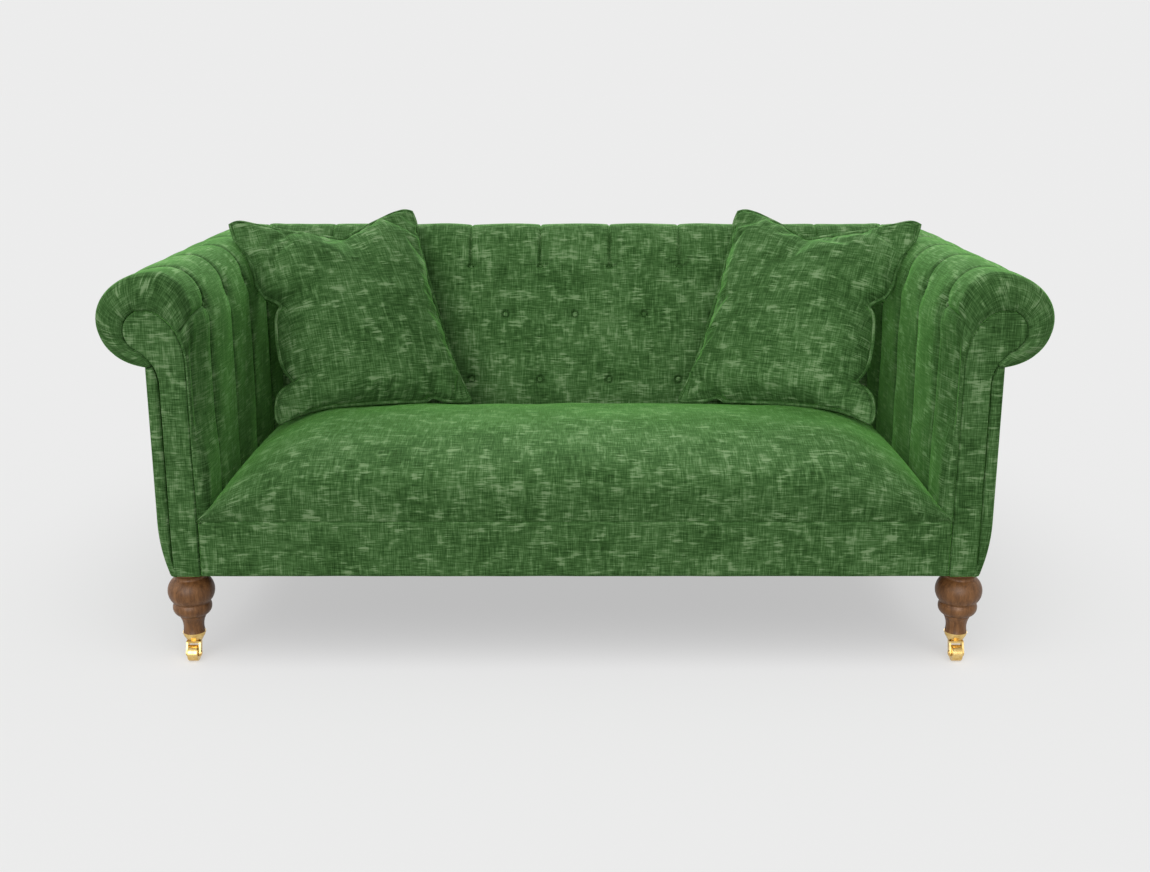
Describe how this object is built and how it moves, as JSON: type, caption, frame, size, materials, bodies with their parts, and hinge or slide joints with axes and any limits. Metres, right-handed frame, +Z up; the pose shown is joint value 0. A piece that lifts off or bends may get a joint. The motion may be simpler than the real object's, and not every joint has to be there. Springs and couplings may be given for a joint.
{
  "type": "two-seater sofa",
  "caption": "Scroll-arm sofa with a buttoned back, tight crowned seat and piped scatter cushions, standing on turned legs with swivelling brass castors.",
  "frame": {"origin": "on the floor, under the middle of the sofa's width and depth", "axes": "+X along the sofa to the right as seen from the front, +Y from the front to the back, +Z up"},
  "size_m": [1.75, 0.94, 0.8163],
  "materials": {
    "green_velvet": "slubbed woven pile",
    "wadding": "soft filling",
    "frame_timber": "sawn",
    "leg_wood": "polished, turned",
    "brass": "aged satin",
    "spring_steel": "oiled wire",
    "webbing": "woven jute",
    "dust_cloth": "thin black cloth"
  },
  "bodies": {
    "sofa": {"left_inside_arm_cover": "green_velvet", "right_inside_arm_cover": "green_velvet", "left_arm_facing": "green_velvet", "right_arm_facing": "green_velvet", "left_outside_arm_cover": "green_velvet", "right_outside_arm_cover": "green_velvet", "inside_back_cover": "green_velvet", "outside_back_cover": "green_velvet", "seat_cover": "green_velvet", "front_border": "green_velvet", "buttons": "green_velvet", "left_arm_pad": "wadding", "right_arm_pad": "wadding", "back_pad": "wadding", "seat_pad": "wadding", "front_rail": "frame_timber", "rear_rail": "frame_timber", "left_side_rail": "frame_timber", "right_side_rail": "frame_timber", "left_front_post": "frame_timber", "right_front_post": "frame_timber", "rear_posts": "frame_timber", "arm_rails": "frame_timber", "back_top_rail": "frame_timber", "rail_corners": "frame_timber", "back_uprights": "frame_timber", "seat_stretcher": "frame_timber", "corner_blocks": "frame_timber", "seat_springs": "spring_steel", "spring_clips": "spring_steel", "leg_bolts": "spring_steel", "spring_cloth": "webbing", "webbing_straps": "webbing", "dust_cover": "dust_cloth", "front_left_leg": "leg_wood", "front_left_castor_cup": "brass", "front_right_leg": "leg_wood", "front_right_castor_cup": "brass", "rear_left_leg": "leg_wood", "rear_left_castor_cup": "brass", "rear_right_leg": "leg_wood", "rear_right_castor_cup": "brass"},
    "front_left_fork": {"front_left_castor_horn": "brass", "front_left_castor_axle": "brass"},
    "front_left_wheel": {"front_left_castor_wheel": "brass"},
    "front_right_fork": {"front_right_castor_horn": "brass", "front_right_castor_axle": "brass"},
    "front_right_wheel": {"front_right_castor_wheel": "brass"},
    "rear_left_fork": {"rear_left_castor_horn": "brass", "rear_left_castor_axle": "brass"},
    "rear_left_wheel": {"rear_left_castor_wheel": "brass"},
    "rear_right_fork": {"rear_right_castor_horn": "brass", "rear_right_castor_axle": "brass"},
    "rear_right_wheel": {"rear_right_castor_wheel": "brass"},
    "left_cushion": {"left_cushion_cover": "green_velvet", "left_cushion_pad": "wadding", "left_cushion_piping": "green_velvet"},
    "right_cushion": {"right_cushion_cover": "green_velvet", "right_cushion_pad": "wadding", "right_cushion_piping": "green_velvet"}
  },
  "joints": [
    {"name": "front_left_swivel", "type": "hinge", "parent": "sofa", "child": "front_left_fork", "pos_m": [-0.749, -0.403, 0.042], "axis": [0, 0, 1], "continuous": true},
    {"name": "front_left_roll", "type": "hinge", "parent": "front_left_fork", "child": "front_left_wheel", "pos_m": [-0.749, -0.416, 0.016], "axis": [1, 0, 0], "continuous": true},
    {"name": "front_right_swivel", "type": "hinge", "parent": "sofa", "child": "front_right_fork", "pos_m": [0.749, -0.403, 0.042], "axis": [0, 0, 1], "continuous": true},
    {"name": "front_right_roll", "type": "hinge", "parent": "front_right_fork", "child": "front_right_wheel", "pos_m": [0.749, -0.416, 0.016], "axis": [1, 0, 0], "continuous": true},
    {"name": "rear_left_swivel", "type": "hinge", "parent": "sofa", "child": "rear_left_fork", "pos_m": [-0.749, 0.335, 0.042], "axis": [0, 0, 1], "continuous": true},
    {"name": "rear_left_roll", "type": "hinge", "parent": "rear_left_fork", "child": "rear_left_wheel", "pos_m": [-0.749, 0.322, 0.016], "axis": [1, 0, 0], "continuous": true},
    {"name": "rear_right_swivel", "type": "hinge", "parent": "sofa", "child": "rear_right_fork", "pos_m": [0.749, 0.335, 0.042], "axis": [0, 0, 1], "continuous": true},
    {"name": "rear_right_roll", "type": "hinge", "parent": "rear_right_fork", "child": "rear_right_wheel", "pos_m": [0.749, 0.322, 0.016], "axis": [1, 0, 0], "continuous": true},
    {"name": "left_cushion_lift", "type": "slide", "parent": "sofa", "child": "left_cushion", "axis": [0, 0, 1], "range_m": [0, 0.5]},
    {"name": "right_cushion_lift", "type": "slide", "parent": "sofa", "child": "right_cushion", "axis": [0, 0, 1], "range_m": [0, 0.5]}
  ]
}
